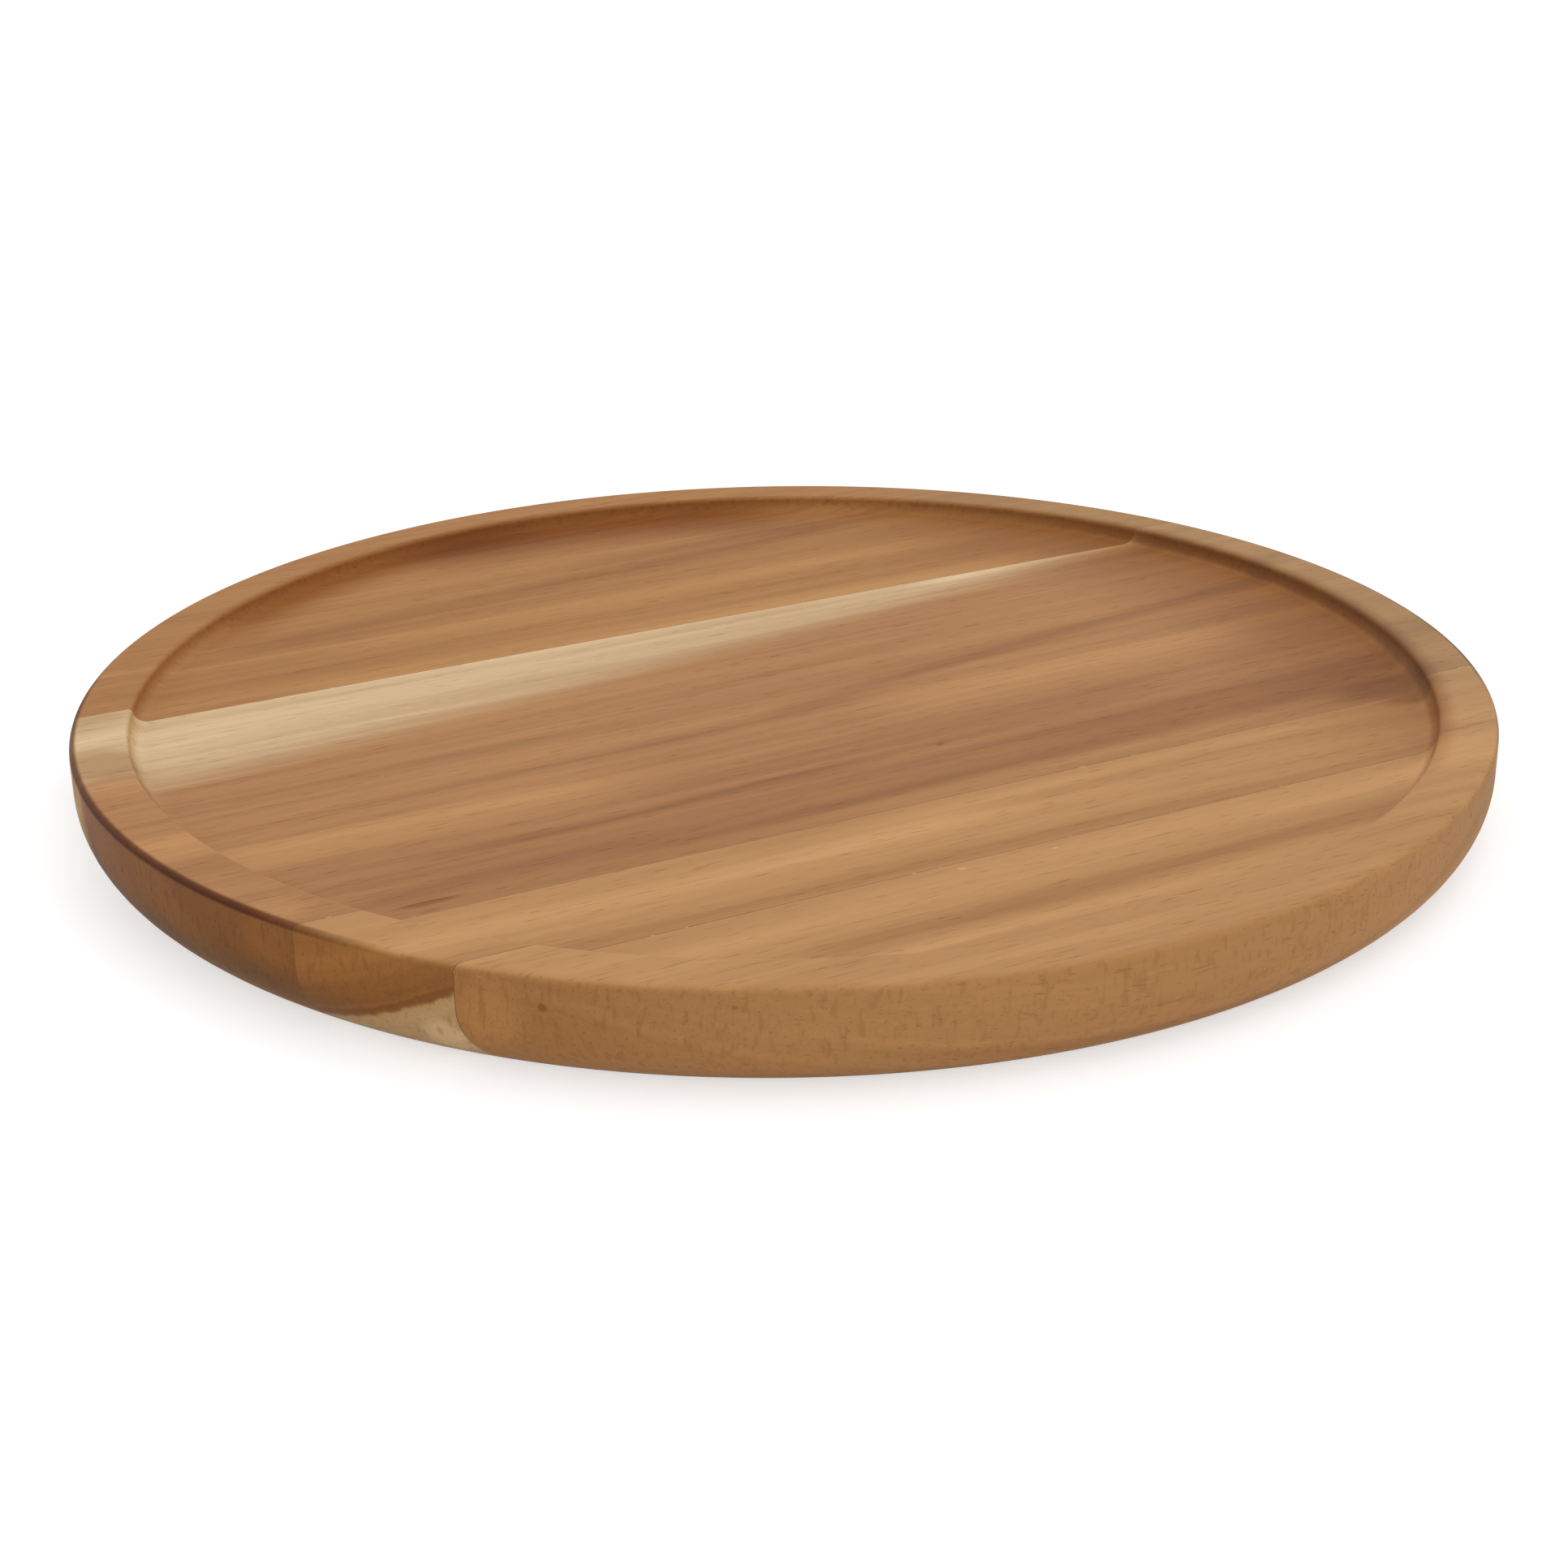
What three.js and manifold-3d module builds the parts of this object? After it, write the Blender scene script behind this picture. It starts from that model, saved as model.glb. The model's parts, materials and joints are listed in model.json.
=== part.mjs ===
// Round serving platter, turned from an edge-glued panel of four hardwood staves.
// Millimetres, +Z up. The origin is the centre of the flat underside, the grain runs
// along X, and the staves lie side by side along Y, from the back (+Y) to the front (-Y).

import * as THREE from 'three';
import { mergeVertices } from 'three/addons/utils/BufferGeometryUtils.js';
import Module from 'manifold-3d';

// Driving dimensions of the turned shape
const DIAMETER = 300;          // over the outer wall
const THICKNESS = 20;          // underside to rim top
const RIM_WIDTH = 10.8;        // flat rim, from the outer wall to where the recess wall begins
const RECESS_DEPTH = 3.5;      // rim top to recess floor
const COVE_RADIUS = 3.2;       // hollow round at the foot of the recess wall
const RIM_OUTER_ROUND = 1.5;   // round on the outer edge of the rim
const RIM_INNER_ROUND = 1.2;   // round from the rim into the recess wall
const UNDERCUT_HEIGHT = 11.6;  // height of the rounded lower edge above the underside
const UNDERCUT_RADIUS = 13.7;  // radius of that rounded lower edge

// Driving dimensions of the glued panel
const BACK_SEAM_Y = 51.0;         // front face of the back stave
const WIDE_STAVE_WIDTH = 119.6;   // between its two glue lines
const NARROW_STAVE_WIDTH = 27.8;  // between its two glue lines
const GLUE_THICKNESS = 0.125;     // cured glue between two staves

// Smoothness of the turned surfaces
const STEPS_AROUND = 96;
const STEPS_UNDERCUT = 6;
const STEPS_ROUND = 3;
const STEPS_COVE = 4;

// Room by which a cutting block passes the disc, and the reach of the snap to its faces
const CUT_MARGIN = 5;
const SNAP_REACH = 0.001;

// Finish of each piece
const WOOD_ROUGHNESS = 0.55;
const GLUE_ROUGHNESS = 0.45;
const BACK_STAVE_COLOUR = 0xa8754a;
const WIDE_STAVE_COLOUR = 0xa4764f;
const NARROW_STAVE_COLOUR = 0xb88858;
const FRONT_STAVE_COLOUR = 0xbb8a5b;
const GLUE_COLOUR = 0x8a6238;

// Sizes that follow from the driving dimensions
const radius = DIAMETER / 2;
const floorHeight = THICKNESS - RECESS_DEPTH;
const wallTopRadius = radius - RIM_WIDTH;
const wallRounds = RIM_INNER_ROUND + COVE_RADIUS;
const wallSlope = Math.acos(Math.max(1 - RECESS_DEPTH / wallRounds, 0));
const floorRadius = wallTopRadius - wallRounds * Math.sin(wallSlope);
const undercutHeight = Math.min(UNDERCUT_HEIGHT, UNDERCUT_RADIUS, THICKNESS - RIM_OUTER_ROUND);

const wasm = await Module();
wasm.setup();

// Points of a circular arc in the (radius, height) plane, both ends included
function arc(centreR, centreZ, arcRadius, startAngle, endAngle, steps) {
  const points = [];
  for (let i = 0; i <= steps; i += 1) {
    const angle = startAngle + (endAngle - startAngle) * i / steps;
    points.push(new THREE.Vector2(
      centreR + arcRadius * Math.cos(angle),
      centreZ + arcRadius * Math.sin(angle),
    ));
  }
  return points;
}

// Half section of the platter, from the centre of the underside round to the centre of the recess
function halfSection() {
  const quarterTurn = Math.PI / 2;
  const undercutAngle = Math.asin(undercutHeight / UNDERCUT_RADIUS);
  const undercut = arc(radius - UNDERCUT_RADIUS, undercutHeight, UNDERCUT_RADIUS,
    -undercutAngle, 0, STEPS_UNDERCUT);
  undercut[0].y = 0;
  const outerRound = arc(radius - RIM_OUTER_ROUND, THICKNESS - RIM_OUTER_ROUND, RIM_OUTER_ROUND,
    0, quarterTurn, STEPS_ROUND);
  const innerRound = arc(wallTopRadius, THICKNESS - RIM_INNER_ROUND, RIM_INNER_ROUND,
    quarterTurn, quarterTurn + wallSlope, STEPS_ROUND);
  const cove = arc(floorRadius, floorHeight + COVE_RADIUS, COVE_RADIUS,
    wallSlope - quarterTurn, -quarterTurn, STEPS_COVE);
  const outline = [
    new THREE.Vector2(0, 0),
    ...undercut,
    ...outerRound,
    ...innerRound,
    ...cove,
    new THREE.Vector2(0, floorHeight),
  ];
  return outline.filter((point, i) => i === 0 || point.distanceTo(outline[i - 1]) > SNAP_REACH);
}

// A closed geometry as a solid that can be cut: vertices merged and flat triangles left out
function toSolid(geometry) {
  geometry.deleteAttribute('normal');
  geometry.deleteAttribute('uv');
  const merged = mergeVertices(geometry);
  const index = merged.index.array;
  const corners = [];
  for (let i = 0; i < index.length; i += 3) {
    const [a, b, c] = [index[i], index[i + 1], index[i + 2]];
    if (a !== b && b !== c && c !== a) corners.push(a, b, c);
  }
  return new wasm.Manifold(new wasm.Mesh({
    numProp: 3,
    vertProperties: new Float32Array(merged.attributes.position.array),
    triVerts: new Uint32Array(corners),
  }));
}

// The whole turned disc, before the panel's glue lines divide it
function turnedDisc() {
  const lathe = new THREE.LatheGeometry(halfSection(), STEPS_AROUND);
  lathe.rotateX(Math.PI / 2);
  return toSolid(lathe);
}

// A slice of the disc between two planes across Y, with its cut faces lying exactly in them
function slice(disc, lowY, highY) {
  const block = new THREE.BoxGeometry(DIAMETER + 2 * CUT_MARGIN, highY - lowY, THICKNESS + 2 * CUT_MARGIN);
  block.translate(0, (lowY + highY) / 2, THICKNESS / 2);
  const cut = disc.intersect(toSolid(block)).getMesh();
  const positions = new Float32Array(cut.vertProperties);
  for (let i = 1; i < positions.length; i += 3) {
    if (Math.abs(positions[i] - lowY) < SNAP_REACH) positions[i] = lowY;
    if (Math.abs(positions[i] - highY) < SNAP_REACH) positions[i] = highY;
  }
  const geometry = new THREE.BufferGeometry();
  geometry.setAttribute('position', new THREE.BufferAttribute(positions, 3));
  geometry.setIndex(new THREE.BufferAttribute(new Uint32Array(cut.triVerts), 1));
  geometry.computeVertexNormals();
  return geometry;
}

function wood(colour) {
  return new THREE.MeshStandardMaterial({ color: colour, roughness: WOOD_ROUGHNESS, metalness: 0 });
}

function glue() {
  return new THREE.MeshStandardMaterial({ color: GLUE_COLOUR, roughness: GLUE_ROUGHNESS, metalness: 0 });
}

// Faces between the pieces, from the back of the panel to its front
const backGlueFront = BACK_SEAM_Y - GLUE_THICKNESS;
const wideStaveFront = backGlueFront - WIDE_STAVE_WIDTH;
const middleGlueFront = wideStaveFront - GLUE_THICKNESS;
const narrowStaveFront = middleGlueFront - NARROW_STAVE_WIDTH;
const frontGlueFront = narrowStaveFront - GLUE_THICKNESS;
const beyondBack = radius + CUT_MARGIN;
const beyondFront = -radius - CUT_MARGIN;

const pieces = [
  ['back_stave', BACK_SEAM_Y, beyondBack, wood(BACK_STAVE_COLOUR)],
  ['back_glue_line', backGlueFront, BACK_SEAM_Y, glue()],
  ['wide_stave', wideStaveFront, backGlueFront, wood(WIDE_STAVE_COLOUR)],
  ['middle_glue_line', middleGlueFront, wideStaveFront, glue()],
  ['narrow_stave', narrowStaveFront, middleGlueFront, wood(NARROW_STAVE_COLOUR)],
  ['front_glue_line', frontGlueFront, narrowStaveFront, glue()],
  ['front_stave', beyondFront, frontGlueFront, wood(FRONT_STAVE_COLOUR)],
];

const platter = new THREE.Group();
const disc = turnedDisc();
for (const [name, lowY, highY, material] of pieces) {
  const mesh = new THREE.Mesh(slice(disc, lowY, highY), material);
  mesh.name = name;
  platter.add(mesh);
}

export default platter;
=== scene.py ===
import json
import math

import bmesh
import bpy
from mathutils import Color, Matrix, Vector


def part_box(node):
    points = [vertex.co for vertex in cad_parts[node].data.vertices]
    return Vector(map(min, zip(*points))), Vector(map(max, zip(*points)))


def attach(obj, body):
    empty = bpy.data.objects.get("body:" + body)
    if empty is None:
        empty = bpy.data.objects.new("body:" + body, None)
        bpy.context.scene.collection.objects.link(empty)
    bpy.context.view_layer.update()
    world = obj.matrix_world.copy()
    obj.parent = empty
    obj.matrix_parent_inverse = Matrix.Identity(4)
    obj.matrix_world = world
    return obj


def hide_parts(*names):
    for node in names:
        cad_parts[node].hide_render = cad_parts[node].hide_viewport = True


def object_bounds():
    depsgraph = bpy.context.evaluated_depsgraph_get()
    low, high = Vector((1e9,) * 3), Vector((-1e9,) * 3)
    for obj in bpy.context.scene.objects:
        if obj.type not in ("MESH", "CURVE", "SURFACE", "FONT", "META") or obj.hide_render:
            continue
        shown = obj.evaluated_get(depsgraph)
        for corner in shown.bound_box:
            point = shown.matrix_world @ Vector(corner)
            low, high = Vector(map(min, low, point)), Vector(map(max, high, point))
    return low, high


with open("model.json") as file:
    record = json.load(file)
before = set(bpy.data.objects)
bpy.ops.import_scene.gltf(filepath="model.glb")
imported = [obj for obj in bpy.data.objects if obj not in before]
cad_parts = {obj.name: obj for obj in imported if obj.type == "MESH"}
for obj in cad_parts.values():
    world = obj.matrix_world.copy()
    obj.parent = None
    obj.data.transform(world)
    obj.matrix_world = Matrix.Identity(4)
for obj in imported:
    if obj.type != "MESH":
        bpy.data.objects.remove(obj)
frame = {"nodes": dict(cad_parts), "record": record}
cad_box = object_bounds()

# A round wooden serving platter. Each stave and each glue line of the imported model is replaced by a
# finely turned slice of the same disc, in the same place. Lengths are metres unless a name ends in
# _MM: wood is drawn in millimetres. +X runs along the grain and +Y across it, towards the back.

# The turned shape
MM = 0.001
LOW_CORNER, HIGH_CORNER = Vector(cad_box[0]), Vector(cad_box[1])
RADIUS = (HIGH_CORNER.x - LOW_CORNER.x) / 2
RIM_TOP = HIGH_CORNER.z
MOUNTS = {mount["name"]: mount for mount in frame["record"]["mounts"]}
FLOOR_TOP = MOUNTS["recess_floor"]["pos_m"][2]
RIM_WIDTH = 10.8 * MM
RIM_OUTER_ROUND = 1.5 * MM
RIM_INNER_ROUND = 1.2 * MM
COVE_RADIUS = 3.2 * MM
UNDERCUT_HEIGHT = 11.6 * MM
UNDERCUT_RADIUS = 13.7 * MM
FOOT_ROUND = 1.2 * MM
WALL_TOP_RADIUS = RADIUS - RIM_WIDTH
WALL_ROUNDS = RIM_INNER_ROUND + COVE_RADIUS
WALL_SLOPE = math.acos(1 - (RIM_TOP - FLOOR_TOP) / WALL_ROUNDS)
FLOOR_RADIUS = WALL_TOP_RADIUS - WALL_ROUNDS * math.sin(WALL_SLOPE)

# The same heights and radii in millimetres, to place the wood's marks by
RADIUS_MM = RADIUS / MM
RIM_TOP_MM = RIM_TOP / MM
WALL_TOP_MM = WALL_TOP_RADIUS / MM
FLOOR_TOP_MM = FLOOR_TOP / MM

# Fineness of the mesh, with support rings a little beside the rounds
STEPS_AROUND = 480
STEPS_ARC = 10
SUPPORT = 0.4 * MM
CUT_TOLERANCE = 1e-7

# The photograph's view
GRAIN_TURN = math.radians(27.96)
CAMERA_PITCH = math.radians(22.312)
CAMERA_ROLL = math.radians(-0.735)
CAMERA_DISTANCE = 569.9 * MM
CAMERA_RISE = 23.45 * MM
CAMERA_SIDE = 0.1 * MM
CAMERA_LENS_MM = 60.56
CAMERA_SENSOR_MM = 36.0
RIGHT = Vector((math.cos(GRAIN_TURN), -math.sin(GRAIN_TURN), 0))
AWAY = Vector((math.sin(GRAIN_TURN), math.cos(GRAIN_TURN), 0))
UP = Vector((0, 0, 1))

# Light: the world's strength on the object, and one large soft lamp
AMBIENT = 0.77
KEY_POWER = 22.0
KEY_SIZE = 2.4
KEY_PLACE = 0.7 * RIGHT + 0.5 * AWAY + 2.8 * UP

# Floor: its grey for the light it gives back, and the glow and the grey that it shows
FLOOR_SIZE = 12.0
FLOOR_DROP = 0.2 * MM
FLOOR_ALBEDO = 0.9
FLOOR_GLOW = 0.6
FLOOR_SHADE = 0.55


# Colours

BYTE_TOP = 255


def linear(code):
    """A colour written as six hexadecimal digits, as linear red, green, blue and alpha."""
    display = Color([byte / BYTE_TOP for byte in bytes.fromhex(code)])
    return [*display.from_srgb_to_scene_linear(), 1.0]


def grey(level):
    """A linear grey with alpha: 0 is black, 1 white."""
    return (level, level, level, 1.0)


# Noise lies about its middle. A noise scale is one over the size of the marks along each axis,
# in millimetres
NOISE_MIDDLE = 0.5
DETAIL_LOW, DETAIL_PLAIN, DETAIL_HIGH = 1.0, 2.0, 3.0

# Gentle bends of the grain, and ragged sides of its lines
BEND_SCALE = (1 / 170, 1 / 45, 1 / 45)
BEND_MM = 3.0
FEATHER_SCALE = (1 / 40, 1 / 2.2, 1 / 2.2)
FEATHER_MM = 3.0

# Lines of three sizes: length along the grain, width across it, and strength
FIGURE_MM = [(420, 22, 0.25), (190, 5.0, 0.50), (90, 1.6, 0.45)]

# Fibres and pores
FIBRE_SCALE = (1 / 60, 1 / 0.9, 1 / 0.9)
FIBRE = 0.30
PORE_SCALE = (1 / 6, 1 / 0.45, 1 / 0.45)
PORE_LOW, PORE_HIGH = 0.62, 0.74
PORE_DARK = 0.25

# Streaks and spots, listed one by one: how long a streak takes to end, and a spot's evenly coloured share
STREAK_END_MM = 28.0
SPOT_CORE = 0.3
# Places along the grain beyond the disc, for a streak that doesn't end on it
FAR_LEFT, FAR_RIGHT = -200, 200

# Rays in the wood show as short upright flecks on the walls
RAY_SCALE = (1 / 1.2, 1 / 1.2, 1 / 3.5)
RAY_LOW, RAY_HIGH = 0.52, 0.72
RAY_DARK = 0.36

# A face counts as a wall by how little its normal rises
WALL_STEEP, WALL_LEVEL = 0.5, 0.9

# Sapwood: its colours, and its tones at the border and deeper inside
SAPWOOD_PALE, SAPWOOD_DEEP = linear("e6c9a0"), linear("b48e61")
SAPWOOD_DEPTH_MM = 20.0
SAPWOOD_BORDER_TONE, SAPWOOD_INNER_TONE = -0.25, 0.15
# The share of it that is left beyond its end, and how much of the end grain's darkening it takes
SAPWOOD_BEYOND = 0.3
SAPWOOD_END_GRAIN = 0.5

# The rim on the right is paler and greener, from the first radius to full at the second
PALE_RIM_COLOUR = linear("969a74")
PALE_RIM_SHARE = 0.17
PALE_RIM_FROM_MM, PALE_RIM_FULL_MM = RADIUS_MM - 15.0, RADIUS_MM - 8.0

# End grain shows by how far a face turns towards the ends of the grain, and less on the recess wall
END_FROM, END_FULL = 0.3, 1.0
END_IN_RECESS = 0.5

# Width in which the recess wall gives way to the rim
LIP_MM = 1.0

# Places near the ends of the grain, along X as shares of the radius
FACING_FROM, FACING_FULL = 0.80, 0.93

# Painted shade: the end grain is darker and greyer towards the lower edge
LOW_SHADE_FULL_MM, LOW_SHADE_FROM_MM = 5.0, 13.0
LOW_SHADE_TINT = linear("ccd8d6")

# Painted shade on the recess wall, from just above the floor, and less on the outer wall
RECESS_WALL_SHADE_TINT = linear("fbf3e0")
RECESS_WALL_FOOT_MM = 0.2
OUTER_WALL_SHADE_TINT = linear("fdf9f2")

# Towards its right-hand end the outer wall is yellower, as far as the wide stave. Places along X as
# shares of the radius
YELLOW_RISE, YELLOW_FALL = (0.35, 0.75), (0.80, 0.92)
YELLOW_TINT = linear("f2f8dc")

# The turned outer edge is darker just below its top, where it cuts across the end grain
EDGE_LINE_FROM_MM, EDGE_LINE_FULL_MM = 18.6, 19.2
EDGE_LINE_RADIUS_FROM_MM, EDGE_LINE_RADIUS_FULL_MM = RADIUS_MM - 1.7, RADIUS_MM - 0.8
EDGE_LINE_TINT = linear("98784c")

# Surface of the wood
SPECULAR = 0.17
WOOD_ROUGHNESS = 0.6
PORE_ROUGHNESS = 0.15
FIBRE_ROUGHNESS = 0.2
FIBRE_RELIEF = 0.35
WOOD_BUMP = 0.35
WOOD_BUMP_DEPTH = 0.06 * MM

# Cured glue
GLUE_DARK, GLUE_LIGHT, GLUE_SPECK = linear("64421f"), linear("7e5830"), linear("d2b48c")
GLUE_CLOUD_SCALE = (1 / 9, 1 / 3, 1 / 3)
GLUE_SPECK_SCALE = (1 / 2.2, 1 / 2.2, 1 / 2.2)
GLUE_SPECK_LOW, GLUE_SPECK_HIGH = 0.66, 0.74
GLUE_ROUGHNESS = 0.5
GLUE_CLOUD_ROUGHNESS = 0.2
GLUE_BUMP = 0.2
GLUE_BUMP_DEPTH = 0.05 * MM


# Shapes

def arc(centre_r, centre_z, radius, start, end):
    """Points of a circular arc in the (radius, height) plane, both ends included."""
    points = []
    for i in range(STEPS_ARC + 1):
        angle = start + (end - start) * i / STEPS_ARC
        points.append((centre_r + radius * math.cos(angle), centre_z + radius * math.sin(angle)))
    return points


def half_section():
    """The platter's half section, from the centre of the underside round to the centre of the recess."""
    quarter = math.pi / 2
    undercut_r = RADIUS - UNDERCUT_RADIUS
    # The foot's small round touches the underside, and the undercut from inside
    reach = UNDERCUT_RADIUS - FOOT_ROUND
    drop = UNDERCUT_HEIGHT - FOOT_ROUND
    foot_r = undercut_r + math.sqrt(reach ** 2 - drop ** 2)
    foot_angle = -math.asin(drop / reach)
    return [
        (0, 0),
        (foot_r / 2, 0),
        (foot_r - SUPPORT, 0),
        *arc(foot_r, FOOT_ROUND, FOOT_ROUND, -quarter, foot_angle),
        *arc(undercut_r, UNDERCUT_HEIGHT, UNDERCUT_RADIUS, foot_angle, 0)[1:],
        (RADIUS, UNDERCUT_HEIGHT + SUPPORT),
        (RADIUS, RIM_TOP - RIM_OUTER_ROUND - SUPPORT),
        *arc(RADIUS - RIM_OUTER_ROUND, RIM_TOP - RIM_OUTER_ROUND, RIM_OUTER_ROUND, 0, quarter),
        (RADIUS - RIM_OUTER_ROUND - SUPPORT, RIM_TOP),
        (WALL_TOP_RADIUS + SUPPORT, RIM_TOP),
        *arc(WALL_TOP_RADIUS, RIM_TOP - RIM_INNER_ROUND, RIM_INNER_ROUND, quarter, quarter + WALL_SLOPE),
        *arc(FLOOR_RADIUS, FLOOR_TOP + COVE_RADIUS, COVE_RADIUS, WALL_SLOPE - quarter, -quarter)[1:],
        (FLOOR_RADIUS - SUPPORT, FLOOR_TOP),
        (FLOOR_RADIUS / 2, FLOOR_TOP),
        (0, FLOOR_TOP),
    ]


def turned_disc():
    """The whole turned disc as one mesh."""
    rings = []
    vertices = []
    for r, z in half_section():
        count = STEPS_AROUND if r > 0 else 1
        rings.append([len(vertices) + i for i in range(count)])
        for i in range(count):
            angle = 2 * math.pi * i / STEPS_AROUND
            vertices.append((r * math.cos(angle), r * math.sin(angle), z))
    faces = []
    for low, high in zip(rings, rings[1:]):
        for i in range(STEPS_AROUND):
            j = (i + 1) % STEPS_AROUND
            corners = [low[i % len(low)], low[j % len(low)], high[j % len(high)], high[i % len(high)]]
            faces.append(list(dict.fromkeys(corners)))
    mesh = bpy.data.meshes.new("turned_disc")
    mesh.from_pydata(vertices, [], faces)
    return mesh


def slice_disc(disc, name, low_y, high_y):
    """The part of the disc between two planes across the grain, closed, with flat cut faces."""
    bm = bmesh.new()
    bm.from_mesh(disc)
    for face in bm.faces:
        face.smooth = True
    for plane_y, outward in ((low_y, -1), (high_y, 1)):
        if abs(plane_y) > RADIUS - SUPPORT:
            continue
        whole = bm.verts[:] + bm.edges[:] + bm.faces[:]
        cut = bmesh.ops.bisect_plane(bm, geom=whole, dist=CUT_TOLERANCE, plane_co=(0, plane_y, 0),
                                     plane_no=(0, outward, 0), clear_outer=True)
        edges = [item for item in cut["geom_cut"] if isinstance(item, bmesh.types.BMEdge)]
        for edge in edges:
            edge.smooth = False
        for face in bmesh.ops.edgeloop_fill(bm, edges=edges)["faces"]:
            face.smooth = False
    bmesh.ops.recalc_face_normals(bm, faces=bm.faces[:])
    mesh = bpy.data.meshes.new(name)
    bm.to_mesh(mesh)
    bm.free()
    piece = bpy.data.objects.new(name, mesh)
    bpy.context.scene.collection.objects.link(piece)
    return piece


# Shader nodes

# A Mix node's sockets for colours: it has others of the same names for numbers and vectors
MIX_FACTOR, MIX_FIRST, MIX_SECOND, MIX_RESULT = 0, 6, 7, 2


class Graph:
    """Short ways to add shader nodes to a tree and to join them."""

    def __init__(self, tree):
        self.tree = tree
        tree.nodes.clear()

    def feed(self, socket, value):
        """Links a socket, or sets a plain value."""
        if isinstance(value, bpy.types.NodeSocket):
            self.tree.links.new(value, socket)
        else:
            socket.default_value = value

    def add(self, kind, inputs=None, **settings):
        node = self.tree.nodes.new("ShaderNode" + kind)
        for name, value in settings.items():
            setattr(node, name, value)
        for name, value in (inputs or {}).items():
            self.feed(node.inputs[name], value)
        return node

    def math(self, operation, *values):
        node = self.add("Math", operation=operation)
        for socket, value in zip(node.inputs, values):
            self.feed(socket, value)
        return node.outputs[0]

    def total(self, values):
        result = values[0]
        for value in values[1:]:
            result = self.math("ADD", result, value)
        return result

    def product(self, *values):
        result = values[0]
        for value in values[1:]:
            result = self.math("MULTIPLY", result, value)
        return result

    def about_middle(self, noise):
        """Noise as a change up or down."""
        return self.math("SUBTRACT", noise, NOISE_MIDDLE)

    def step(self, value, low, high, to_low=0.0, to_high=1.0):
        """Goes smoothly from to_low at low to to_high at high."""
        node = self.add("MapRange", interpolation_type="SMOOTHSTEP")
        for socket, number in zip(node.inputs, (value, low, high, to_low, to_high)):
            self.feed(socket, number)
        return node.outputs[0]

    def stretched(self, vector, scale):
        node = self.add("VectorMath", operation="MULTIPLY")
        self.feed(node.inputs[0], vector)
        self.feed(node.inputs[1], scale)
        return node.outputs[0]

    def position_mm(self):
        """The place in the object, in millimetres."""
        return self.stretched(self.add("TexCoord").outputs["Object"], (1 / MM, 1 / MM, 1 / MM))

    def noise_node(self, vector, scale, detail):
        """Noise in space, with a scale for each axis."""
        return self.add("TexNoise", {"Vector": self.stretched(vector, scale), "Scale": 1.0, "Detail": detail})

    def noise(self, vector, scale, detail=DETAIL_PLAIN):
        """Noise as one number."""
        return self.noise_node(vector, scale, detail).outputs["Fac"]

    def noise_vector(self, vector, scale, detail=DETAIL_PLAIN):
        """Noise as three numbers."""
        return self.split(self.noise_node(vector, scale, detail).outputs["Color"])

    def mix(self, factor, first, second, blend="MIX"):
        node = self.add("Mix", data_type="RGBA", blend_type=blend)
        self.feed(node.inputs[MIX_FACTOR], factor)
        self.feed(node.inputs[MIX_FIRST], first)
        self.feed(node.inputs[MIX_SECOND], second)
        return node.outputs[MIX_RESULT]

    def tinted(self, factor, colour, tint):
        return self.mix(factor, colour, tint, blend="MULTIPLY")

    def split(self, vector):
        return self.add("SeparateXYZ", {0: vector}).outputs

    def show(self, shader):
        self.tree.links.new(shader, self.add("OutputMaterial").inputs["Surface"])


def new_material(name):
    """A material, and the graph of its emptied tree."""
    material = bpy.data.materials.new(name)
    material.use_nodes = True
    return material, Graph(material.node_tree)


# What the staves are made of. Places and lengths are millimetres, and a change of tone is dark below 0

class Streak:
    """A light or dark line along the grain, placed by where it meets the floor's level, half way along."""

    def __init__(self, y, half_width, change, start=FAR_LEFT, end=FAR_RIGHT, lean=0.0):
        self.y = y
        self.half_width = half_width
        self.change = change             # change of tone in the middle of the line
        self.start, self.end = start, end
        self.lean = lean                 # lean against the grain


class Spot:
    """A dark or pale patch, from a small fleck to a few centimetres long."""

    def __init__(self, place, half_length, half_width, change):
        self.place = place
        self.half_length, self.half_width = half_length, half_width
        self.change = change


class Sapwood:
    """Pale wood on the side of a stave that lay nearest to the bark."""

    def __init__(self, y, lean, softness, end=FAR_RIGHT):
        self.y = y                       # where its border meets the floor's level, half way along
        self.lean = lean                 # sideways lean of the border along the stave
        self.softness = softness         # width of the border
        self.end = end                   # where it ends along the grain


class RecessShade:
    """Painted shade on one side of the recess, by its wall. Angles are degrees and radii millimetres."""

    def __init__(self, direction, fades, full, rise, fall, tint):
        angle = math.radians(direction)
        self.towards = (math.cos(angle), math.sin(angle), 0.0)
        self.low, self.high = math.cos(math.radians(fades)), math.cos(math.radians(full))
        self.rise = rise                 # radii between which it begins
        self.fall = fall                 # radii between which it ends
        self.tint = linear(tint)

    def nearness(self, g, position, radius):
        """1 on the shaded side of the centre and 0 on the others."""
        dot = g.add("VectorMath", {0: position, 1: self.towards}, operation="DOT_PRODUCT")
        return g.step(g.math("DIVIDE", dot.outputs["Value"], radius), self.low, self.high)

    def share(self, g, position, radius):
        """How strongly the painted shade darkens the wood."""
        rising = g.step(radius, *self.rise)
        falling = g.step(radius, *self.fall, 1.0, 0.0)
        return g.product(self.nearness(g, position, radius), rising, falling)


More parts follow.
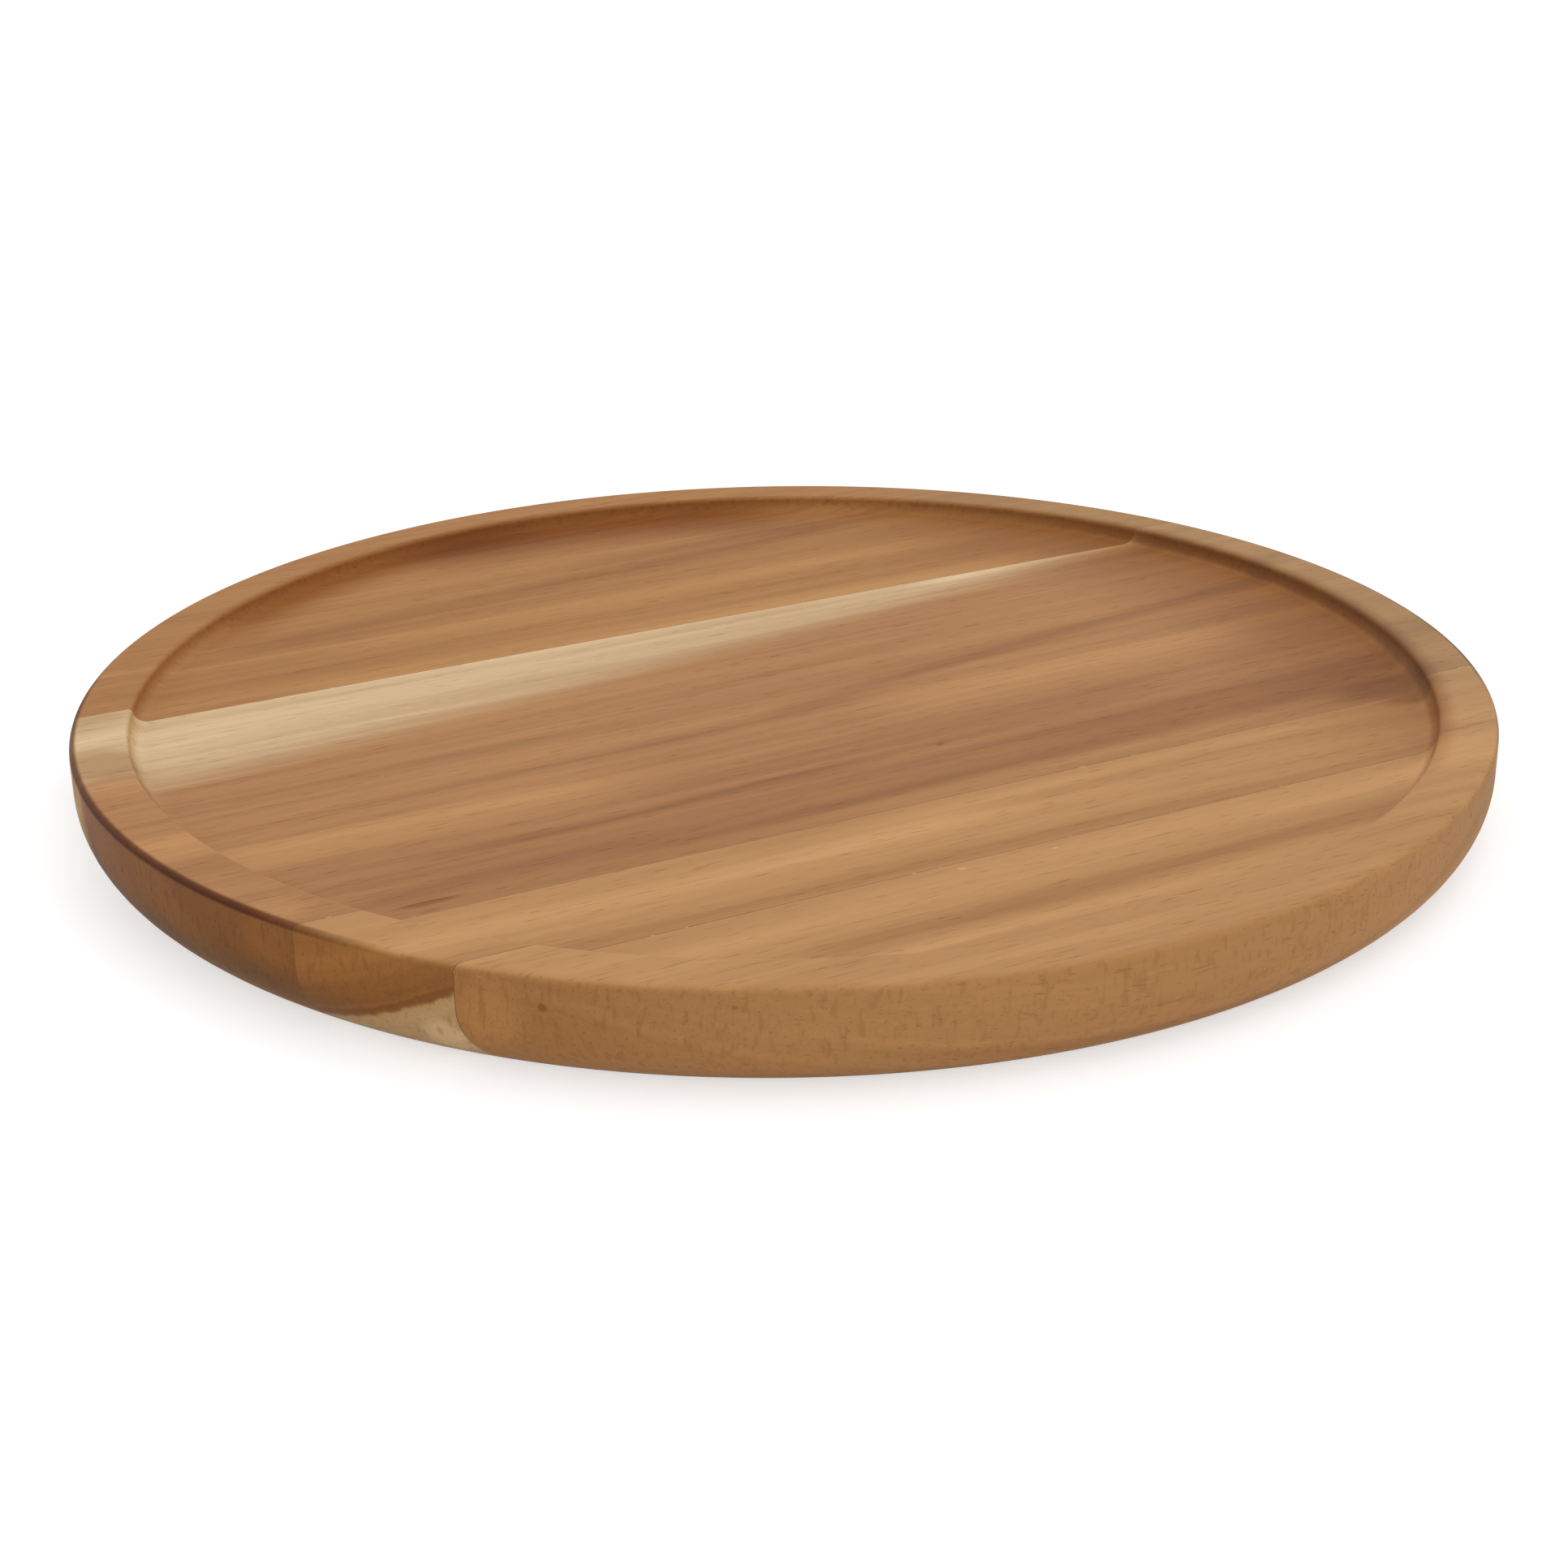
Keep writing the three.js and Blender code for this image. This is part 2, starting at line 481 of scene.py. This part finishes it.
class Stave:
    """Where a stave lay in its tree, and what colours its wood has."""

    def __init__(self, pith, lean, dark, light, end_tint, seed, tone=0.5, wall_figure=0.4, streaks=(),
                 spots=(), sapwood=None):
        self.pith_y, self.pith_z = pith      # centre of the growth rings
        self.lean = lean                     # sideways lean of the grain along the stave
        self.dark, self.light = linear(dark), linear(light)
        self.end_tint = linear(end_tint)     # darkening of the end grain
        self.seed = seed
        self.tone = tone                     # 0 is all dark, 1 all light
        self.wall_figure = wall_figure       # how strongly rings and streaks show on the walls
        self.streaks = streaks
        self.spots = spots
        self.sapwood = sapwood

    def ring_at(self, y):
        """The ring radius on the recess floor."""
        return math.hypot(y - self.pith_y, FLOOR_TOP_MM - self.pith_z)


# Painted shade on the sides of the recess by its wall, and in its corner on the right
RIGHT_RECESS_SHADE = RecessShade(direction=5, fades=58, full=25, rise=(85, 134), fall=(135, 142), tint="d6c29c")
BACK_RECESS_SHADE = RecessShade(direction=83, fades=28, full=8, rise=(111, 131), fall=(136, 141), tint="c9a964")
BACK_LEFT_RECESS_SHADE = RecessShade(direction=113, fades=27, full=8, rise=(122, 137), fall=(136, 141), tint="d2b472")
CORNER_RECESS_SHADE = RecessShade(
    direction=350, fades=50, full=25, rise=(135.8, 137.3), fall=(138.5, 142.5), tint="e0ceac",
)
RECESS_SHADES = [RIGHT_RECESS_SHADE, BACK_RECESS_SHADE, BACK_LEFT_RECESS_SHADE, CORNER_RECESS_SHADE]

# The four staves, from the back to the front. A streak is given by its place across the floor, half its
# width, its change of tone, and its start and end along the grain. A spot is given by its place, half its
# length and width, and its change of tone
STAVES = {
    "back_stave": Stave(
        pith=(5, -55), lean=0.02, dark="8a5424", light="c08c53", end_tint="d8c0a0", seed=3.0,
        streaks=[
            Streak(50.5, 12, 0.42, -76, 90),
            Streak(66.5, 3.5, -0.18, FAR_LEFT, -86),
            Streak(67.5, 4, -0.10, 19, 79),
            Streak(76.5, 7, 0.18, -61, 79),
            Streak(94.5, 7, -0.28, -81, 59, lean=0.08),
            Streak(108.5, 6, 0.12, -61, 19),
            Streak(106, 7, -0.18, 15, 70),
            Streak(131, 9, -0.10, -20, 90),
            Streak(93, 12, -0.20, 118),
        ],
    ),
    "wide_stave": Stave(
        pith=(-105, 120), lean=0.02, dark="85552d", light="c28d59", end_tint="c0ab7a", seed=11.0,
        tone=0.54,
        streaks=[
            Streak(-12.5, 45, 0.10, FAR_LEFT, -61),
            Streak(48.5, 5, -0.18, FAR_LEFT, 19),
            Streak(47.5, 3, 0.50, 80, 122),
            Streak(11.5, 4, -0.12, -11, 39, lean=0.10),
            Streak(1.5, 3, -0.15, -116, -61),
            Streak(-13, 3.5, -0.20, FAR_LEFT, -1),
            Streak(-9.5, 5, -0.24, 9, lean=0.13),
            Streak(-21.5, 12, 0.25, 29, 94),
            Streak(-26.5, 10, 0.25, FAR_LEFT, -71),
            Streak(-36.5, 5, -0.16, -41, 59),
            Streak(-44, 4, -0.28, -81, -21),
            Streak(-52.5, 18, -0.15, -106),
            Streak(-51.5, 11, -0.08, 44, 109),
            Streak(-60, 5, -0.26, -51, 94),
            Streak(-58.5, 9, -0.15, -106, -76),
            Streak(-66.5, 3, 0.08, -1, 59),
        ],
        spots=[
            Spot((-107, -64.5, FLOOR_TOP_MM), 9, 1.4, -0.35),
            Spot((13, -44, FLOOR_TOP_MM), 1.5, 1.0, -0.3),
            Spot((-140, 46.5, RIM_TOP_MM), 16, 8, -0.4),
            Spot((-143, 23, RIM_TOP_MM), 12, 12, -0.60),
            Spot((-141, 8, RIM_TOP_MM), 12, 7, 0.18),
            # Darker wood low on the left end, and partly painted shade on the undercut
            Spot((-148, 8, 5), 8, 14, -0.70),
            Spot((-134, -62, 16), 10, 9, 0.25),
            # Darker wood and painted shade on the floor by the right wall
            Spot((115, -64, FLOOR_TOP_MM), 22, 9, -0.40),
        ],
        sapwood=Sapwood(y=31.6, lean=0.137, softness=10.0, end=118),
    ),
    "narrow_stave": Stave(
        pith=(-52, 83), lean=0.0, dark="99683a", light="d09d67", end_tint="cdb580", seed=23.0,
        wall_figure=1.0,
        streaks=[
            Streak(-80.5, 8, 0.20, FAR_LEFT, -11),
            Streak(-73.5, 3, 0.14, -11, 79),
            Streak(-78.5, 4, -0.12, 19, 99),
            Streak(-85.5, 16, -0.10, 54),
            Streak(-95, 6, -0.30),
            Streak(-99.2, 1.8, -0.90, FAR_LEFT, -85),
        ],
        spots=[
            # Paler sapwood low on the undercut, partly painted light from the floor
            Spot((-115.5, -93.5, 4.5), 8, 6, 0.6),
            # Darker wood and painted shade in the corner by the right wall
            Spot((117, -71, FLOOR_TOP_MM), 14, 5, -0.5),
            Spot((112, -91, RIM_TOP_MM), 14, 8, 0.2),
        ],
        sapwood=Sapwood(y=-100.3, lean=0.0, softness=1.5),
    ),
    "front_stave": Stave(
        pith=(-62, -140), lean=0.01, dark="996a3b", light="cf9c67", end_tint="d4c0a0", seed=31.0,
        streaks=[
            Streak(-104, 8, 0.30),
            Streak(-116.5, 7, -0.36, -46, 69),
            Streak(-124.5, 3, 0.10, -41, 9),
        ],
        spots=[
            Spot((-16, -99.2, FLOOR_TOP_MM), 1.2, 0.7, 0.6),
            Spot((4, -99.7, FLOOR_TOP_MM), 1.0, 0.7, 0.4),
            Spot((-111, -101, 11), 10, 9, 0.35),
            Spot((-103.7, -108.4, 14.2), 1.5, 1.0, -0.6),
            Spot((-77.8, -128.2, 16.5), 1.0, 0.6, -0.4),
            Spot((98, -106, RIM_TOP_MM), 22, 10, 0.25),
        ],
    ),
}


# Materials

def ring_radius(g, place, stave, lean):
    """Distance from the stave's pith, a line along the grain with a sideways lean."""
    x, y, z = place
    side = g.math("SUBTRACT", g.math("MULTIPLY_ADD", x, -lean, y), stave.pith_y)
    rise = g.math("SUBTRACT", z, stave.pith_z)
    return g.math("SQRT", g.math("ADD", g.product(side, side), g.product(rise, rise)))


def streak_tone(g, place, stave, streak):
    """Change of tone along one streak, fading out at its sides and ends."""
    x = place[0]
    ring = ring_radius(g, place, stave, stave.lean + streak.lean)
    middle = stave.ring_at(streak.y)
    far_side = stave.ring_at(streak.y + streak.half_width)
    near_side = stave.ring_at(streak.y - streak.half_width)
    half = abs(far_side - near_side) / 2
    body = g.step(g.math("ABSOLUTE", g.math("SUBTRACT", ring, middle)), 0.0, half, streak.change, 0.0)
    begun = g.step(x, streak.start - STREAK_END_MM, streak.start)
    ended = g.step(x, streak.end, streak.end + STREAK_END_MM, 1.0, 0.0)
    return g.product(body, begun, ended)


def spot_tone(g, position, spot):
    """Change of tone in one spot, fading out at its edge."""
    offset = g.add("VectorMath", {0: position, 1: spot.place}, operation="SUBTRACT").outputs[0]
    across = 1 / spot.half_width
    scaled = g.stretched(offset, (1 / spot.half_length, across, across))
    distance = g.add("VectorMath", {0: scaled}, operation="LENGTH").outputs["Value"]
    return g.step(distance, SPOT_CORE, 1.0, spot.change, 0.0)


def tone_of(g, position, place, stave, fibre, upright):
    """How light the wood is: 0 is all dark, 1 all light."""
    ring = ring_radius(g, place, stave, stave.lean)
    lay = g.add("CombineXYZ", {0: place[0], 1: ring, 2: stave.seed}).outputs[0]
    figure = [streak_tone(g, place, stave, streak) for streak in stave.streaks]
    for length, width, strength in FIGURE_MM:
        lines = g.noise(lay, (1 / length, 1 / width, 1.0))
        figure.append(g.product(g.about_middle(lines), strength))
    parts = [stave.tone, g.product(g.about_middle(fibre), FIBRE)]
    parts.append(g.product(g.total(figure), g.step(upright, 0.0, 1.0, 1.0, stave.wall_figure)))
    parts += [spot_tone(g, position, spot) for spot in stave.spots]
    return g.math("MINIMUM", g.math("MAXIMUM", g.total(parts), 0.0), 1.0)


def sapwood_share(g, place, stave):
    """0 in heartwood and 1 in sapwood, and the change of tone from the border inwards."""
    sapwood = stave.sapwood
    ring = ring_radius(g, place, stave, sapwood.lean)
    border = stave.ring_at(sapwood.y)
    half = sapwood.softness / 2
    ended = g.step(place[0], sapwood.end, sapwood.end + STREAK_END_MM, 1.0, SAPWOOD_BEYOND)
    share = g.product(g.step(ring, border - half, border + half), ended)
    change = g.step(ring, border, border + SAPWOOD_DEPTH_MM, SAPWOOD_BORDER_TONE, SAPWOOD_INNER_TONE)
    return share, change


def with_recess_shade_and_pale_rim(g, colour, position, radius, z):
    """Painted shade in the recess by its wall, and a paler, greener rim on the right."""
    upper = g.step(z, FLOOR_TOP_MM / 2, FLOOR_TOP_MM)
    # Painted shade by the recess wall
    for recess_shade in RECESS_SHADES:
        colour = g.tinted(g.product(recess_shade.share(g, position, radius), upper), colour, recess_shade.tint)
    # The rim on the right is paler and greener
    pale_rim = g.product(g.step(radius, PALE_RIM_FROM_MM, PALE_RIM_FULL_MM), upper, PALE_RIM_SHARE)
    return g.mix(g.product(RIGHT_RECESS_SHADE.nearness(g, position, radius), pale_rim), colour, PALE_RIM_COLOUR)


def with_turning(g, colour, radius, x, z, normal, upright, stave, spared):
    """Darker end grain on the turned walls, least where it is spared, painted shade on the walls, and a dark
    line along the outer edge.
    """
    outside = g.step(radius, WALL_TOP_MM - LIP_MM, WALL_TOP_MM)
    inside = g.math("SUBTRACT", 1.0, outside)
    along = g.math("DIVIDE", x, radius)
    facing = g.step(g.math("ABSOLUTE", along), FACING_FROM, FACING_FULL)

    # End grain
    end_share = g.step(outside, 0.0, 1.0, END_IN_RECESS, 1.0)
    end = g.product(g.step(g.math("ABSOLUTE", normal[0]), END_FROM, END_FULL), spared, end_share)
    colour = g.tinted(end, colour, stave.end_tint)
    # Painted shade low on the end grain, near the ends of the grain
    low = g.step(z, LOW_SHADE_FULL_MM, LOW_SHADE_FROM_MM, 1.0, 0.0)
    colour = g.tinted(g.product(end, facing, low), colour, LOW_SHADE_TINT)

    # Outer wall: painted shade, and yellower towards the right-hand end
    colour = g.tinted(g.product(upright, outside), colour, OUTER_WALL_SHADE_TINT)
    yellow = g.product(g.step(along, *YELLOW_RISE), g.step(along, *YELLOW_FALL, 1.0, 0.0))
    colour = g.tinted(g.product(yellow, upright, outside), colour, YELLOW_TINT)

    # Recess wall: painted shade
    sloping = g.step(normal[2], math.cos(WALL_SLOPE), 1.0, 1.0, 0.0)
    above = g.step(z, FLOOR_TOP_MM, FLOOR_TOP_MM + RECESS_WALL_FOOT_MM)
    colour = g.tinted(g.product(inside, sloping, above), colour, RECESS_WALL_SHADE_TINT)

    # Outer edge: darker just below the top, near the ends of the grain
    rim_edge = g.step(radius, EDGE_LINE_RADIUS_FROM_MM, EDGE_LINE_RADIUS_FULL_MM)
    edge_line = g.product(facing, rim_edge, g.step(z, EDGE_LINE_FROM_MM, EDGE_LINE_FULL_MM))
    return g.tinted(edge_line, colour, EDGE_LINE_TINT)


def wood(name, stave):
    """Solid wood: rings about a leaning pith, so that faces show streaks and ends show arcs."""
    material, g = new_material(name)
    position = g.position_mm()
    x, y, z = g.split(position)
    bend = g.noise_vector(position, BEND_SCALE)
    feather = g.noise(position, FEATHER_SCALE)
    bend_y = g.product(g.about_middle(bend[1]), BEND_MM)
    bend_z = g.product(g.about_middle(bend[2]), BEND_MM)
    ragged = g.product(g.about_middle(feather), FEATHER_MM)
    place = (x, g.total([y, bend_y, ragged]), g.math("ADD", z, bend_z))

    fibre = g.noise(position, FIBRE_SCALE, detail=DETAIL_HIGH)
    normal = g.split(g.add("NewGeometry").outputs["Normal"])
    upright = g.step(g.math("ABSOLUTE", normal[2]), WALL_STEEP, WALL_LEVEL, 1.0, 0.0)
    tone = tone_of(g, position, place, stave, fibre, upright)
    colour = g.mix(tone, stave.dark, stave.light)
    spared = 1.0
    if stave.sapwood:
        share, change = sapwood_share(g, place, stave)
        colour = g.mix(share, colour, g.mix(g.math("ADD", tone, change), SAPWOOD_DEEP, SAPWOOD_PALE))
        spared = g.step(share, 0.0, 1.0, 1.0, SAPWOOD_END_GRAIN)

    # Rays: short upright flecks on the walls only
    ray = g.step(g.noise(position, RAY_SCALE, detail=DETAIL_LOW), RAY_LOW, RAY_HIGH)
    colour = g.mix(g.product(ray, upright, RAY_DARK), colour, stave.dark)

    # Pores: short dark dashes on the faces, dots on the ends
    pore = g.step(g.noise(position, PORE_SCALE, detail=DETAIL_LOW), PORE_LOW, PORE_HIGH)
    colour = g.tinted(g.product(pore, PORE_DARK), colour, stave.dark)

    radius = g.math("SQRT", g.math("ADD", g.product(x, x), g.product(y, y)))
    colour = with_recess_shade_and_pale_rim(g, colour, position, radius, z)
    colour = with_turning(g, colour, radius, x, z, normal, upright, stave, spared)

    fibre_roughness = g.product(g.about_middle(fibre), FIBRE_ROUGHNESS)
    roughness = g.total([WOOD_ROUGHNESS, g.product(pore, PORE_ROUGHNESS), fibre_roughness])
    relief = g.math("SUBTRACT", g.product(fibre, FIBRE_RELIEF), pore)
    bump = g.add("Bump", {"Height": relief, "Strength": WOOD_BUMP, "Distance": WOOD_BUMP_DEPTH})
    shader = g.add("BsdfPrincipled", {
        "Base Color": colour, "Roughness": roughness, "Specular IOR Level": SPECULAR,
        "Normal": bump.outputs[0],
    })
    g.show(shader.outputs[0])
    return material


def cured_glue():
    """A thin brown line, with a few pale specks."""
    material, g = new_material("cured_glue")
    position = g.position_mm()
    cloud = g.noise(position, GLUE_CLOUD_SCALE, detail=DETAIL_HIGH)
    speck = g.noise(position, GLUE_SPECK_SCALE, detail=DETAIL_LOW)
    colour = g.mix(cloud, GLUE_DARK, GLUE_LIGHT)
    colour = g.mix(g.step(speck, GLUE_SPECK_LOW, GLUE_SPECK_HIGH), colour, GLUE_SPECK)
    roughness = g.math("MULTIPLY_ADD", cloud, GLUE_CLOUD_ROUGHNESS, GLUE_ROUGHNESS)
    bump = g.add("Bump", {"Height": cloud, "Strength": GLUE_BUMP, "Distance": GLUE_BUMP_DEPTH})
    shader = g.add("BsdfPrincipled", {
        "Base Color": colour, "Roughness": roughness, "Specular IOR Level": SPECULAR,
        "Normal": bump.outputs[0],
    })
    g.show(shader.outputs[0])
    return material


# The pieces of the platter

def add_pieces(disc):
    """Each node's slice of the disc, in its own material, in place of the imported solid."""
    glue = cured_glue()
    for node in sorted(frame["nodes"]):
        low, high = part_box(node)
        piece = slice_disc(disc, node + "_turned", low.y, high.y)
        stave = STAVES.get(node)
        piece.data.materials.append(wood(node + "_wood", stave) if stave else glue)
        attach(piece, "root")
        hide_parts(node)


# Camera, light and stage

def add_camera():
    """A camera that looks at the platter as the photograph's did."""
    up = AWAY * math.sin(CAMERA_PITCH) + UP * math.cos(CAMERA_PITCH)
    forward = AWAY * math.cos(CAMERA_PITCH) - UP * math.sin(CAMERA_PITCH)
    rim_centre = UP * RIM_TOP
    place = rim_centre - RIGHT * CAMERA_SIDE - up * CAMERA_RISE - forward * CAMERA_DISTANCE
    image_right = RIGHT * math.cos(CAMERA_ROLL) + up * math.sin(CAMERA_ROLL)
    image_up = up * math.cos(CAMERA_ROLL) - RIGHT * math.sin(CAMERA_ROLL)
    data = bpy.data.cameras.new("photo_camera")
    data.sensor_fit = "HORIZONTAL"
    data.sensor_width = CAMERA_SENSOR_MM
    data.lens = CAMERA_LENS_MM
    camera = bpy.data.objects.new("photo_camera", data)
    turn = Matrix((image_right, image_up, -forward)).transposed().to_4x4()
    camera.matrix_world = Matrix.Translation(place) @ turn
    bpy.context.scene.collection.objects.link(camera)
    bpy.context.scene.camera = camera


def add_key_light():
    """A large soft lamp high above the platter, a little behind it and to the right."""
    data = bpy.data.lights.new("key_light", "AREA")
    data.energy = KEY_POWER
    data.size = KEY_SIZE
    light = bpy.data.objects.new("key_light", data)
    aim = -KEY_PLACE
    light.matrix_world = Matrix.Translation(KEY_PLACE) @ aim.to_track_quat("-Z", "Y").to_matrix().to_4x4()
    bpy.context.scene.collection.objects.link(light)


def seen(g):
    """1 for the rays that show the stage itself: straight, in a reflection or through glass."""
    path = g.add("LightPath").outputs
    straight_or_mirrored = g.math("MAXIMUM", path["Is Camera Ray"], path["Is Glossy Ray"])
    return g.math("MAXIMUM", straight_or_mirrored, path["Is Transmission Ray"])


def add_world():
    """Even light from all round, which shows as white."""
    world = bpy.data.worlds.new("studio")
    world.use_nodes = True
    bpy.context.scene.world = world
    g = Graph(world.node_tree)
    strength = g.step(seen(g), 0.0, 1.0, AMBIENT, 1.0)
    background = g.add("Background", {"Color": grey(1.0), "Strength": strength})
    output = g.add("OutputWorld")
    g.tree.links.new(background.outputs[0], output.inputs["Surface"])


def studio_floor_material():
    """Pale to the light, and nearly white where it is seen, with the object's shadow on it."""
    material, g = new_material("studio_floor")
    plain = g.add("BsdfDiffuse", {"Color": grey(FLOOR_ALBEDO)})
    shown = g.add("BsdfDiffuse", {"Color": grey(FLOOR_SHADE)})
    glow = g.add("Emission", {"Color": grey(1.0), "Strength": FLOOR_GLOW})
    bright = g.add("AddShader", {0: shown.outputs[0], 1: glow.outputs[0]})
    both = g.add("MixShader", {0: seen(g), 1: plain.outputs[0], 2: bright.outputs[0]})
    g.show(both.outputs[0])
    return material


def add_floor():
    """A wide floor just below the underside."""
    half = FLOOR_SIZE / 2
    corners = [(-half, -half), (half, -half), (half, half), (-half, half)]
    mesh = bpy.data.meshes.new("studio_floor")
    mesh.from_pydata([(x, y, -FLOOR_DROP) for x, y in corners], [], [(0, 1, 2, 3)])
    mesh.materials.append(studio_floor_material())
    floor = bpy.data.objects.new("studio_floor", mesh)
    bpy.context.scene.collection.objects.link(floor)


add_pieces(turned_disc())
add_camera()
add_key_light()
add_world()
add_floor()
bpy.context.scene.view_settings.view_transform = "Standard"
